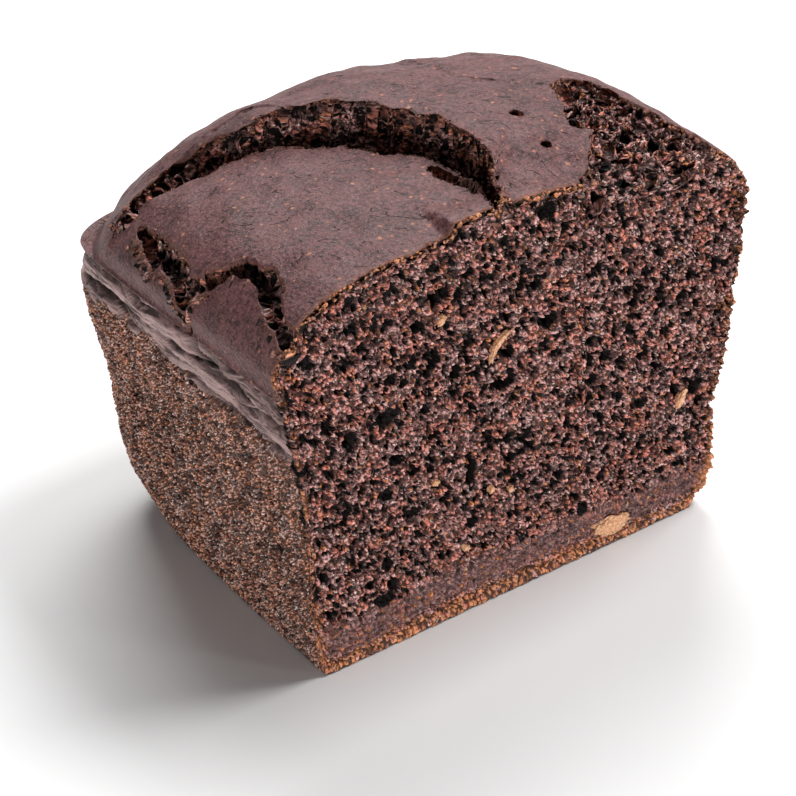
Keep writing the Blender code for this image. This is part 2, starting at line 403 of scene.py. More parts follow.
    # Turns and stretches places, so that the flakes lie long and aslant.
    FLAKES = np.array([[0.75, 0.28, 0.0], [-0.66, 0.31, 0.0], [0.0, 0.0, 0.4]])

    def groove_height(self, back: np.ndarray) -> np.ndarray:
        """Height of the groove between wall and crust."""
        return self.rim_height - self.rim_fall * back * back

    def reach(self, wall: Profile, height: np.ndarray, back: np.ndarray) -> np.ndarray:
        """Distance of a wall from the middle, or from the cut, at a height."""
        rim = self.groove_height(back)
        levels, distances = np.array(wall).T
        inside = np.interp(np.minimum(height, rim) * self.wall_top / rim, levels, distances)
        return inside + self.overhang * smooth(0.0, self.overhang_rise, height - rim)

    def place(self, across: np.ndarray, back: np.ndarray, height: np.ndarray) -> np.ndarray:
        """Turn the cake's own coordinates into points.

        Args:
            across: -1 at the left wall to 1 at the right wall.
            back: 0 at the cut to 1 at the end wall.
            height: height above the base.

        Returns:
            Points x, y, z.
        """
        across, back, height = np.broadcast_arrays(across, back, height)
        wave = self.wave_height * np.sin(height * math.tau / self.wave_length + self.wave_turn * back
                                         + across + self.wave_start)
        side = np.where(across < 0.0, self.reach(self.left_wall, height, back),
                        self.reach(self.right_wall, height, back))
        power = self.corner_power
        shrink = np.abs(across) ** power * back ** power / (2.0 * power + 1.0)
        x = across * (side + wave * back) * (1.0 - shrink)
        y = back * (self.reach(self.end_wall, height, back) + wave) * (1.0 - shrink)
        return np.stack([x, y, height], axis=-1)

    @staticmethod
    def along(line: Route, x: np.ndarray, y: np.ndarray) -> np.ndarray:
        """Signed distance from a line in the plan, as a share of its half width."""
        best = np.full(x.shape, np.inf)
        position = np.full(x.shape, -9.0)
        for (ax, ay, aw), (bx, by, bw) in zip(line[:-1], line[1:]):
            dx, dy = bx - ax, by - ay
            u = np.clip(((x - ax) * dx + (y - ay) * dy) / (dx * dx + dy * dy), 0.0, 1.0)
            off = np.hypot(x - ax - u * dx, y - ay - u * dy)
            side = np.sign((x - ax) * dy - (y - ay) * dx)
            nearer = off < best
            position = np.where(nearer, side * off / (aw + u * (bw - aw)), position)
            best = np.minimum(best, off)
        return position

    def torn_share(self, x: np.ndarray, y: np.ndarray) -> np.ndarray:
        """1 well inside the torn place, 0 on whole crust."""
        inside = np.zeros(x.shape, dtype=bool)
        edge = np.full(x.shape, np.inf)
        for (ax, ay), (bx, by) in zip(self.torn, self.torn[1:] + self.torn[:1]):
            dx, dy = bx - ax, by - ay
            u = np.clip(((x - ax) * dx + (y - ay) * dy) / (dx * dx + dy * dy), 0.0, 1.0)
            edge = np.minimum(edge, np.hypot(x - ax - u * dx, y - ay - u * dy))
            crosses = (ay > y) != (by > y)
            inside ^= crosses & (x < ax + (y - ay) * dx / (dy if dy else 1e-9))
        start, end, more = self.torn_shallow
        wide = self.torn_edge * (1.0 + more * smooth(start, end, x))
        return np.where(inside, smooth(0.0, 1.0, edge / wide), 0.0)

    def fullness(self, across: np.ndarray, back: np.ndarray) -> np.ndarray:
        """Share of the whole rise that the rounded crust has."""
        power = np.where(across < 0.0, self.left_round, self.right_round)
        over = np.clip(1.0 - np.abs(across) ** self.across_power, 0.0, 1.0) ** power
        over = over * np.clip(1.0 - back ** self.back_power, 0.0, 1.0) ** self.back_round
        return over * (1.0 - np.abs(across) ** self.sink_across * back ** self.sink_back)

    def risen(self, plan: np.ndarray, x: np.ndarray, y: np.ndarray, position: np.ndarray) -> np.ndarray:
        """Rise over the rim: higher behind the crack, at the hump and where a piece is lifted."""
        step = smooth(*self.lip_step, position)
        extra = self.back_rise * step * smooth(*self.low_side, x) * smooth(*self.high_side, x)
        extra = extra * smooth(*self.rise_back, y)
        lifted = smooth(*self.lifted[0], x) * (1.0 - smooth(*self.lifted[1], x))
        lifted = lifted * (1.0 - smooth(0.0, self.lifted_back, y))
        middle, back_of, half_across, half_back, height = self.hump
        hump = np.hypot((plan[..., 0] - middle) / half_across, (plan[..., 1] - back_of) / half_back)
        hump = height * (1.0 - smooth(self.hump_flat, 1.0, hump))
        return self.rise + self.step_height * step + extra + hump + self.lifted_height * lifted

    def torn_out(self, plan: np.ndarray, y: np.ndarray, lumps: np.ndarray) -> np.ndarray:
        """Depth of the torn place, with flakes on its floor."""
        slope = self.torn_slope * (1.0 - smooth(0.0, self.torn_slope_back, y))
        return self.torn_depth * lumps + slope + self.flake_height * grain(plan @ self.FLAKES, 1.5, 7.0)

    def nicks(self, plan: np.ndarray, x: np.ndarray, y: np.ndarray) -> np.ndarray:
        """1 along the shallow ragged ledges of the crust behind the crack."""
        ledge = np.abs(self.along(self.ledge, x, y)) + 0.5 * (1.0 + grain(plan, 5.0, 21.0))
        tongue = np.abs(self.along(self.tongue, x, y)) + 0.4 * (1.0 + grain(plan, 4.0, 22.0))
        return np.maximum(1.0 - smooth(0.3, 1.2, ledge), 1.0 - smooth(0.3, 1.3, tongue))

    def pocks(self, x: np.ndarray, y: np.ndarray) -> np.ndarray:
        """Depth of the single round pits."""
        pock = np.zeros(x.shape)
        for middle, back_of, wide, deep in self.craters:
            off = np.hypot(x - middle, y - back_of) / wide
            pock = np.maximum(pock, deep * (1.0 - smooth(0.5, 1.0, off)))
        return pock

    def swells(self, plan: np.ndarray, y: np.ndarray) -> np.ndarray:
        """Depth of the soft waves of the crust, stronger towards the back."""
        waves = 0.5 * (1.0 + grain(plan, 11.0, 23.0)) + 0.35 * (1.0 + grain(plan, 4.6, 24.0))
        swell = self.undulation * (1.0 + self.back_swell * smooth(*self.swell_back, y))
        return swell * (waves - self.swell_middle)

    def under_lips(self, position: np.ndarray, tears: np.ndarray) -> np.ndarray:
        """1 right under the lips of the crack, less in the tears; the finish paints shadow there."""
        low, full, ends, high = self.under_lip
        under = smooth(low, full, position) * (1.0 - smooth(ends, high, position))
        under = np.maximum(under, smooth(-1.0, -0.9, position) * (1.0 - smooth(-0.6, -0.2, position)))
        return np.maximum(under, self.under_tears * smooth(0.2, 0.6, tears))

    def crust(self, across: np.ndarray, back: np.ndarray) -> CrustShape:
        """Work out the crust with its crack, tears, slit and torn place.

        Args:
            across: -1 at the left wall to 1 at the right wall.
            back: 0 at the cut to 1 at the end wall.

        Returns:
            The crust at each of those places.
        """
        rim = self.groove_height(back)
        over = self.fullness(across, back)
        plan = self.place(across, back, rim + self.rise * over)
        x = plan[..., 0] + 0.9 * grain(plan, 3.1, 1.0) + 0.45 * grain(plan, 1.1, 2.0)
        y = plan[..., 1] + 0.9 * grain(plan, 3.3, 3.0) + 0.45 * grain(plan, 1.2, 4.0)
        position = self.along(self.crack, x, y)
        drop = self.corner_drop * smooth(*self.drop_across, plan[..., 0])
        drop = drop * smooth(*self.drop_back, plan[..., 1])
        valley = smooth(*self.front_lip, position) * (1.0 - smooth(*self.back_lip, position))
        torn = self.torn_share(x, y)
        lumps = 1.0 + 0.35 * grain(plan, 4.0, 5.0) + 0.35 * grain(plan, 1.9, 6.0)
        slit = 1.0 - smooth(0.55, 1.15, np.abs(self.along(self.slit, x, y)))
        tears = [1.0 - smooth(0.45, 1.3, np.abs(self.along(line, x, y)))
                 for line in (self.left_tear, self.front_tear)]
        tears = np.maximum(*tears)
        nick_and_shade = self.nicks(plan, x, y)
        pock = self.pocks(x, y)
        height = rim + self.risen(plan, x, y, position) * over - drop
        height = height - self.crack_depth * valley * lumps * over
        height = height - self.torn_out(plan, y, lumps) * torn * over
        height = height - self.slit_depth * slit
        height = height - self.tear_depth * tears - self.ledge_depth * nick_and_shade - pock
        height = height - self.swells(plan, y) * over
        gap = smooth(-1.1, -0.95, position) * (1.0 - smooth(0.85, 1.05, position))
        opened = np.maximum.reduce([gap, smooth(0.02, 0.3, torn), slit, smooth(0.3, 0.65, tears),
                                    smooth(0.3, 0.7, pock)])
        # Painted shade: gloom darkens the crack, more towards its back lip, and the slit, the tears and the
        # ledges.
        gloom = np.maximum.reduce([0.7 * gap + 0.3 * gap * smooth(0.2, 0.8, position), slit,
                                   smooth(0.2, 0.7, tears), self.nick_gloom * smooth(0.3, 1.0, nick_and_shade)])
        return CrustShape(np.maximum(height, rim), opened, gloom, self.under_lips(position, tears))

    def hole_depth(self, points: np.ndarray) -> np.ndarray:
        """Depth of the largest pores at points of the cut face."""
        x = points[..., 0] + 0.5 * grain(points, 1.6, 14.0)
        z = points[..., 2] + 0.5 * grain(points, 1.6, 15.0)
        depth = np.zeros(x.shape)
        for middle, height, wide, high, turn in self.holes:
            across = (x - middle) * math.cos(turn) - (z - height) * math.sin(turn)
            along = (x - middle) * math.sin(turn) + (z - height) * math.cos(turn)
            off = np.hypot(across / wide, along / high)
            depth = np.maximum(depth, self.hole_depth_full * (1.0 - smooth(0.5, 1.0, off)))
        return depth

    def even_steps(self, count: int, half: float, power: float, fullness: float) -> np.ndarray:
        """Positions 0 to 1 that lie evenly along the curved crust above them."""
        s = np.sin(np.linspace(0.0, math.pi / 2.0, 4000))
        rise = self.rise * (1.0 - s ** power) ** fullness
        run = np.concatenate([[0.0], np.cumsum(np.hypot(np.diff(s) * half, np.diff(rise)))])
        return np.interp(np.linspace(0.0, run[-1], count + 1), run, s)


class Side(Enum):
    """The patches of the cake's surface."""
    CUT = "cut_face"
    CRUST = "top_crust"
    CRUST_BACK = "top_crust_back"
    LEFT = "left_wall"
    RIGHT = "right_wall"
    END = "end_wall"
    BASE = "base_crust"

    @property
    def risen(self) -> bool:
        """Whether it is part of the risen crust."""
        return self in (Side.CRUST, Side.CRUST_BACK)


@dataclass
class Patch:
    """One patch of surface: a grid of points and what the finishes need to know there."""
    side: Side
    points: np.ndarray
    marks: dict[str, np.ndarray] = field(default_factory=dict)

    def split(self, line: int, behind: Side) -> list["Patch"]:
        """Part the patch in two along a line of its grid."""
        spans = (self.side, slice(0, line + 1)), (behind, slice(line, None))
        return [Patch(side, self.points[:, span], {name: mark[:, span] for name, mark in self.marks.items()})
                for side, span in spans]

    def edge_distance(self, first: bool, last: bool, axis: int) -> np.ndarray:
        """Distance along the grid to its first or last line, in millimetres."""
        step = np.linalg.norm(np.diff(self.points, axis=axis), axis=-1)
        zero = np.zeros_like(np.take(step, [0], axis=axis))
        run = np.concatenate([zero, np.cumsum(step, axis=axis)], axis=axis)
        far = np.full(run.shape, FAR)
        if first:
            far = np.minimum(far, run)
        if last:
            far = np.minimum(far, np.take(run, [-1], axis=axis) - run)
        return far

    def lean(self, core: np.ndarray) -> np.ndarray:
        """Unit vectors that point outwards, the same on both sides of a shared edge."""
        along_u = np.gradient(self.points, axis=0)
        along_v = np.gradient(self.points, axis=1)
        normal = np.cross(along_u, along_v)
        normal /= np.linalg.norm(normal, axis=-1, keepdims=True) + 1e-9
        outward = self.points - core
        outward /= np.linalg.norm(outward, axis=-1, keepdims=True)
        turned = np.sign(np.sum(normal * outward))
        edge = np.minimum(self.edge_distance(True, True, 0), self.edge_distance(True, True, 1))
        share = smooth(0.0, 2.5, edge)[..., None]
        lean = normal * turned * share + outward * (1.0 - share)
        return lean / np.linalg.norm(lean, axis=-1, keepdims=True)

    def mesh(self, core: np.ndarray, shift: np.ndarray) -> bpy.types.Mesh:
        """Make the closed mesh: the grid, and a fan from its edge to the core.

        Args:
            core: point inside the cake where the fan meets, in millimetres.
            shift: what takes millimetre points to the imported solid's place.

        Returns:
            A mesh in metres with the patch's marks as attributes.
        """
        rows, columns = self.points.shape[:2]
        index = np.arange(rows * columns).reshape(rows, columns)
        quads = np.stack([index[:-1, :-1], index[1:, :-1], index[1:, 1:], index[:-1, 1:]], axis=-1)
        quads = quads.reshape(-1, 4)
        loop = np.concatenate([index[:, 0], index[-1, 1:], index[-2::-1, -1], index[0, -2:0:-1]])
        fan = np.stack([loop, np.full(loop.shape, rows * columns), np.roll(loop, -1)], axis=-1)
        normal = np.cross(self.points[rows // 2 + 1, columns // 2] - self.points[rows // 2, columns // 2],
                          self.points[rows // 2, columns // 2 + 1] - self.points[rows // 2, columns // 2])
        if normal @ (self.points[rows // 2, columns // 2] - core) < 0.0:
            quads = quads[:, ::-1]
            fan = fan[:, ::-1]
        vertices = np.concatenate([self.points.reshape(-1, 3), core[None]]) * MM + shift
        mesh = bpy.data.meshes.new(self.side.value)
        mesh.from_pydata(vertices.tolist(), [], quads.tolist() + fan.tolist())
        mesh.polygons.foreach_set("use_smooth", [True] * len(quads) + [False] * len(fan))
        skin = mesh.attributes.new("skin", "FLOAT", "FACE")
        skin.data.foreach_set("value", np.array([1.0] * len(quads) + [0.0] * len(fan), dtype=np.float32))
        for name, values in self.marks.items():
            kind = "FLOAT_VECTOR" if values.ndim == 3 else "FLOAT"
            tail = np.zeros((1, 3)) if values.ndim == 3 else np.zeros(1)
            flat = np.concatenate([values.reshape(-1, *values.shape[2:]), tail])
            mark = mesh.attributes.new(name, kind, "POINT")
            mark.data.foreach_set("vector" if values.ndim == 3 else "value", flat.ravel().astype(np.float32))
        return mesh


@dataclass
class CakeSurface:
    """Builds the patches from the form."""
    form: CakeForm
    across_steps: int = 400
    back_steps: int = 280
    back_density: Profile = ((0.0, 1.0), (34.0, 1.0), (38.0, 1.6), (64.0, 1.6), (68.0, 0.6), (90.0, 0.6))
    seam: float = 67.0
    height_steps: int = 236
    rough_edge: float = 1.5
    standing_calm: float = 0.35
    # Millimetres of the band under the crack's lips, pressed in where the crumb is bare and painted as
    # shadow.
    under_lip_depth_and_shade: float = 0.75
    base_step: int = 4
    fold_line: Profile = ((1.0, 45.0), (15.0, 47.3), (26.0, 47.3), (36.0, 48.5), (54.0, 50.2), (74.0, 44.7))

    def __post_init__(self) -> None:
        """Work out the shared steps, which keep neighbouring edges together."""
        form = self.form
        half = form.even_steps(self.across_steps // 2, form.left_wall[-1][1], form.across_power,
                               form.left_round)
        self.across = np.concatenate([-half[::-1], half[1:]])
        depth = form.end_wall[-1][1]
        fine = form.even_steps(4000, depth, form.back_power, form.back_round)
        run = np.cumsum(np.interp(fine * depth, *np.array(self.back_density).T))
        places = np.linspace(run[0], run[-1], self.back_steps + 1)
        self.back = np.interp(places, run, fine)
        self.seam_line = int(np.searchsorted(self.back * depth, self.seam))
        self.share = np.linspace(0.0, 1.0, self.height_steps + 1)
        self.core = np.array(form.core)

    def crust(self) -> list[Patch]:
        """The risen crust, with crack, tears and the torn place, in two parts."""
        a, b = np.meshgrid(self.across, self.back, indexing="ij")
        shape = self.form.crust(a, b)
        patch = Patch(Side.CRUST, self.form.place(a, b, shape.height))
        cut = patch.edge_distance(True, False, 1)
        rim = np.minimum(patch.edge_distance(True, True, 0), patch.edge_distance(False, True, 1))
        self._mark(patch, cut, rim, shape.opened)
        patch.marks["gloom"] = shape.gloom
        # Painted shadow under the crack's lips, which the sponge finish reads as pore depth.
        patch.marks["hole"] = self.under_lip_depth_and_shade * shape.under * (0.6 + 0.5 * grain(patch.points, 2.6, 13.0))
        brown = patch.marks["brown"] * (1.0 - shape.opened)
        patch.marks["brown"] = np.maximum(brown, self._lip(shape.opened))
        return patch.split(self.seam_line, Side.CRUST_BACK)

    @staticmethod
    def _lip(opened: np.ndarray) -> np.ndarray:
        """1 where whole crust breaks off into bare crumb."""
        jump = np.abs(np.gradient(opened, axis=0)) + np.abs(np.gradient(opened, axis=1))
        return np.clip(1.6 * jump, 0.0, 0.32)

    def cut(self) -> Patch:
        """The cut face."""
        a, h = np.meshgrid(self.across, self.share, indexing="ij")
        shape = self.form.crust(self.across, 0.0 * self.across)
        opened = shape.opened[:, None]
        patch = Patch(Side.CUT, self.form.place(a, 0.0 * a, h * shape.height[:, None]))
        wall = patch.edge_distance(True, True, 0)
        base = patch.edge_distance(True, False, 1)
        crust = patch.edge_distance(False, True, 1)
        self._mark(patch, 0.0 * wall, np.hypot(wall, crust), 0.0 * wall + 1.0)
        patch.marks["calm"] *= self._standing(base)
        wall = wall + 0.8 * grain(patch.points, 2.1, 11.0)
        base = base + 0.9 * grain(patch.points, 2.4, 12.0)
        patch.marks["brown"] = np.maximum.reduce([1.0 - smooth(0.9, 3.2, wall), 1.0 - smooth(1.6, 4.0, base),
                                                  (1.0 - smooth(0.3, 1.7, crust)) * (1.0 - opened)])
        patch.marks["hole"] = self.form.hole_depth(patch.points)
        return patch

    def wall(self, side: Side) -> Patch:
        """One of the three tin-baked walls."""
        if side is Side.END:
            u, h = np.meshgrid(self.across, self.share, indexing="ij")
            points = self.form.place(u, 1.0 + 0.0 * u, h * self.form.groove_height(np.ones_like(u)))
        else:
            u, h = np.meshgrid(self.back, self.share, indexing="ij")
            sign = -1.0 if side is Side.LEFT else 1.0
            points = self.form.place(sign + 0.0 * u, u, h * self.form.groove_height(u))
        patch = Patch(side, points)
        cut = patch.edge_distance(True, False, 0) if side is not Side.END else np.full(u.shape, FAR)
        rim = patch.edge_distance(False, True, 1)
        self._mark(patch, cut, rim, 0.0 * rim)
        patch.marks["calm"] *= self._standing(patch.edge_distance(True, False, 1))
        patch.marks["hole"] = self._grooves(points)
        return patch

    def _grooves(self, points: np.ndarray) -> np.ndarray:
        """Depth of the long grooves that run along under the rim."""
        back = points[..., 1] / self.form.end_wall[-1][1]
        under = self.form.groove_height(back) - points[..., 2]
        flat = points * np.array([1.0, 1.0, 0.3])
        depth = np.zeros(under.shape)
        for number, line in enumerate(self.form.rim_grooves):
            off = under - line + 1.1 * grain(flat, 9.0, 30.0 + number) + 0.5 * grain(flat, 3.0, 32.0 + number)
            share = 0.55 + 0.45 * grain(flat, 12.0, 34.0 + number)
            groove = 1.0 - smooth(0.15, 1.1, np.abs(off))
            depth = np.maximum(depth, share * self.form.rim_groove_depth * groove)
        return depth

    def base(self) -> Patch:
        """The flat base."""
        across = self.across[::self.base_step]
        back = self.back[::self.base_step]
        a, b = np.meshgrid(across, back, indexing="ij")
        patch = Patch(Side.BASE, self.form.place(a, b, 0.0 * a))
        edge = np.minimum(patch.edge_distance(True, True, 0), patch.edge_distance(True, True, 1))
        self._mark(patch, patch.edge_distance(True, False, 1), 0.0 * edge + FAR, 0.0 * edge)
        patch.marks["calm"] *= self._standing(edge)
        return patch

    def _standing(self, distance: np.ndarray) -> np.ndarray:
        """Share of the relief left near the line where the cake stands."""
        return self.standing_calm + (1.0 - self.standing_calm) * smooth(0.0, 1.4, distance)

    def _mark(self, patch: Patch, cut: np.ndarray, quiet: np.ndarray, opened: np.ndarray) -> None:
        """Write the marks that relief and finishes read.

        Args:
            patch: the patch to mark.
            cut: distance to the cut edge.
            quiet: distance to the edges where the relief fades out.
            opened: share of bare crumb.
        """
        ragged = cut + 0.5 * grain(patch.points, 1.3, 8.0)
        rough = np.where(cut <= 1e-6, 1.0, 1.0 - smooth(0.2, self.rough_edge, ragged))
        patch.marks["lean"] = patch.lean(self.core)
        patch.marks["rough"] = np.maximum(rough, opened)
        patch.marks["calm"] = smooth(0.0, 1.0, quiet)
        y, z = patch.points[..., 1], patch.points[..., 2]
        start = np.interp(y, *np.array(self.fold_line).T) + 2.4 * grain(patch.points, 6.0, 9.0)
        start += 1.2 * grain(patch.points, 1.8, 10.0)
        patch.marks["folded"] = smooth(-0.8, 0.8, z - start)
        patch.marks["home"] = patch.points
        patch.marks["gloom"] = np.zeros(y.shape)
        patch.marks["hole"] = np.zeros(y.shape)
        patch.marks["brown"] = 1.0 - smooth(0.2, 2.2, ragged)


# ---------------------------------------------------------------- relief

@dataclass(frozen=True)
class CrumbRelief:
    """Pores and grains of the open sponge."""
    huge: Pore = Pore(9.0, 1.9, 3.6, 0.30, 1.0)
    large: Pore = Pore(4.4, 1.5, 2.8, 0.70, 2.0)
    middle: Pore = Pore(2.5, 1.05, 2.0, 0.90, 3.0, 0.5)
    small: Pore = Pore(1.35, 0.60, 1.2, 0.92, 4.0, 0.5)
    honey: Pore = Pore(1.5, 0.76, 1.7, 0.92, 12.0, 0.35)
    grain_size: float = 0.78
    grain_height: float = 0.65
    gap: tuple[float, float] = (0.34, 0.72)
    dense_band: tuple[float, float, float, float] = (2.6, 4.2, 7.5, 12.5)

    def closed(self, g: Graph, place: Any, height: Wire) -> tuple[Wire, Wire]:
        """Share of few pores low in the cake, and of the dense band within it."""
        wavy = height + 4.0 * (g.noise(place, 14.0, 0.0) - 0.5)
        low, full, ends, high = self.dense_band
        closed = 1.0 - wavy.rise(ends, high)
        return closed, wavy.rise(low, full) * closed

    def large_pores(self, g: Graph, place: Any, height: Wire) -> Wire:
        """Depth of all but the small pores, in millimetres."""
        bent = g.warp(g.warp(place, 2.6, 2.6), 0.9, 0.9)
        large = g.pores(bent, self.huge).larger(g.pores(bent, self.large)).larger(g.pores(bent, self.middle))
        return large * (1.0 - 0.92 * self.closed(g, place, height)[0])

    def parts(self, g: Graph, place: Any, height: Wire, hole: Wire,
              gloom: Optional[Wire]) -> tuple[Wire, Wire, list[Wire], Wire]:
        """Pores and grains of the sponge.

        Args:
            g: graph to add to.
            place: place in millimetres.
            height: height above the base in millimetres.
            hole: depth of the larger pores.
            gloom: how deep in a crack, where the torn crumb is a honeycomb; None for no cracks.

        Returns:
            Depth of the pores in millimetres, share of gap between grains, three random
            numbers of each grain, and share of the dense band above the base.
        """
        bent = g.warp(place, 0.9, 0.9)
        closed, dense = self.closed(g, place, height)
        holes = g.pores(bent, self.small) * (1.0 - 0.6 * closed)
        distance, numbers = g.cells(g.warp(place, 0.8, 1.0), self.grain_size, 5.0)
        gap = distance.rise(*self.gap).larger(1.0 - g.noise(place, 0.5, 2.0, 0.7).rise(0.34, 0.46))
        gap = gap * (1.0 - 0.3 * dense)
        if gloom is not None:
            holes = holes.larger(g.pores(bent, self.honey) * gloom)
        return holes.larger(hole), gap, numbers, dense

    def depth(self, g: Graph, place: Any, height: Wire, hole: Wire, gloom: Optional[Wire]) -> Wire:
        """Depth of the whole relief, in millimetres.

        Args:
            g: graph to add to.
            place: place in millimetres.
            height: height above the base in millimetres.
            hole: depth of the largest pores.
            gloom: how deep in a crack, or None.

        Returns:
            The depth.
        """
        holes, gap, (tone, _, _), _ = self.parts(g, place, height, hole, gloom)
        grains = gap * self.grain_height + 0.45 * tone
        return holes + grains + g.noise(place, 6.0, 2.0) * 0.8


@dataclass(frozen=True)
class CrustRelief:
    """Fine wrinkles and a few pinholes of the baked crust."""
    wrinkle: float = 0.34
    pinhole: Pore = Pore(3.4, 0.34, 0.5, 0.22, 6.0)

    def depth(self, g: Graph, place: Any) -> Wire:
        """Depth of the crust's relief, in millimetres."""
        wide = g.noise(place, 11.0, 2.0) * 0.5
        fine = g.noise(g.warp(place, 6.0, 3.0), 3.2, 4.0, 0.55) * self.wrinkle
        return wide + fine + g.pores(place, self.pinhole)


@dataclass(frozen=True)
class WallRelief:
    """Small dense pores where the sponge met the tin, and folds below the rim."""
    small: Pore = Pore(2.6, 0.85, 1.1, 0.60, 8.0)
    tiny: Pore = Pore(1.1, 0.40, 0.7, 0.85, 9.0)
    grain_size: float = 0.62
    grain_height: float = 0.55
    gap: tuple[float, float] = (0.30, 0.66)
    fold_size: float = 4.4
    fold_height: float = 3.0
    fold_middle: float = 0.52
    crease_depth: float = 1.5
    wrinkle: float = 0.7

    def parts(self, g: Graph, place: Any) -> tuple[Wire, Wire, list[Wire]]:
        """Depth of the pits, share of gap between grains, three random numbers of each grain."""
        distance, numbers = g.cells(g.warp(place, 0.5, 0.5), self.grain_size, 7.0)
        gap = distance.rise(*self.gap).larger(1.0 - g.noise(place, 0.42, 2.0, 0.75).rise(0.34, 0.46))
        bent = g.warp(place, 1.6, 1.2)
        return g.pores(bent, self.small).larger(g.pores(bent, self.tiny)), gap, numbers

    def depth(self, g: Graph, place: Any, folded: Wire) -> Wire:
        """Depth of the wall's relief, in millimetres.

        Args:
            g: graph to add to.
            place: place in millimetres.
            folded: 1 on the folded band under the rim, 0 below it.

        Returns:
            The depth.
        """
        pits, gap, (tone, _, _) = self.parts(g, place)
        rough = pits + gap * self.grain_height + 0.25 * tone
        body, crease, wrinkle = self.folds(g, place)
        folds = (body - self.fold_middle) * self.fold_height
        folds = folds + crease * self.crease_depth + wrinkle * self.wrinkle
        return g.noise(place, 12.0, 2.0) * 0.9 + rough * (1.0 - 0.9 * folded) + folds * folded

    def folds(self, g: Graph, place: Any) -> tuple[Wire, Wire, Wire]:
        """The long folds under the rim, the creases between them and fine wrinkles, 0 to 1; the finish paints
        shade into the creases.
        """
        stretched = g.vector("MULTIPLY", g.warp(g.warp(place, 14.0, 6.0), 5.0, 2.0), (0.09, 0.09, 1.0))
        body = g.noise(stretched, self.fold_size, 3.0, 0.6)
        off = body - 0.5
        return body, 1.0 - off.larger(0.0 - off).rise(0.010, 0.080), g.noise(stretched, 0.9, 3.0, 0.7)


@dataclass
class ReliefTree:
    """Geometry nodes that press the relief into a patch and note how deep it went."""
    crumb: CrumbRelief = CrumbRelief()
    crust: CrustRelief = CrustRelief()
    wall: WallRelief = WallRelief()

    def build(self, side: Side, material: bpy.types.Material) -> bpy.types.NodeTree:
        """Make the tree for one side.

        Args:
            side: the patch it is for.
            material: finish of the patch.

        Returns:
            The geometry node tree.
        """
        tree = bpy.data.node_groups.new("relief_" + side.value, "GeometryNodeTree")
        tree.interface.new_socket("Cake", in_out="INPUT", socket_type="NodeSocketGeometry")
        tree.interface.new_socket("Depth", in_out="INPUT", socket_type="NodeSocketFloat")
        tree.interface.new_socket("Cake", in_out="OUTPUT", socket_type="NodeSocketGeometry")
        g = Graph(tree)
        source = tree.nodes.new("NodeGroupInput")
        place = g.mark("home", "FLOAT_VECTOR")
        height = Wire(g, g.node("ShaderNodeSeparateXYZ", {}, {0: place}).outputs[2])
        rough, calm, folded, groove, gloom = (
            Wire(g, g.mark(name)) for name in ("rough", "calm", "folded", "hole", "gloom"))
        own = self.crust.depth(g, place) if side.risen else self.wall.depth(g, place, folded)
        hole = self.crumb.large_pores(g, place, height).larger(groove)
        crumb = self.crumb.depth(g, place, height, hole, gloom if side.risen else None)
        if not side.risen:
            own = own + groove
        depth = (own + (crumb - own) * rough) * calm * g.wire(source, "Depth")
        push = g.vector("SCALE", g.mark("lean", "FLOAT_VECTOR"), scale=depth * (-MM))
        moved = g.node("GeometryNodeSetPosition", {}, {"Geometry": g.out(source, "Cake"), "Offset": push})
        g.close(g.note(g.note(moved.outputs[0], "pit", depth), "pore", hole), material)
        return tree


# ---------------------------------------------------------------- finishes

@dataclass
class Skin:
    """What a finish gives the shader; bump is in millimetres."""
    colour: bpy.types.NodeSocket
    roughness: Number
    bump: Wire


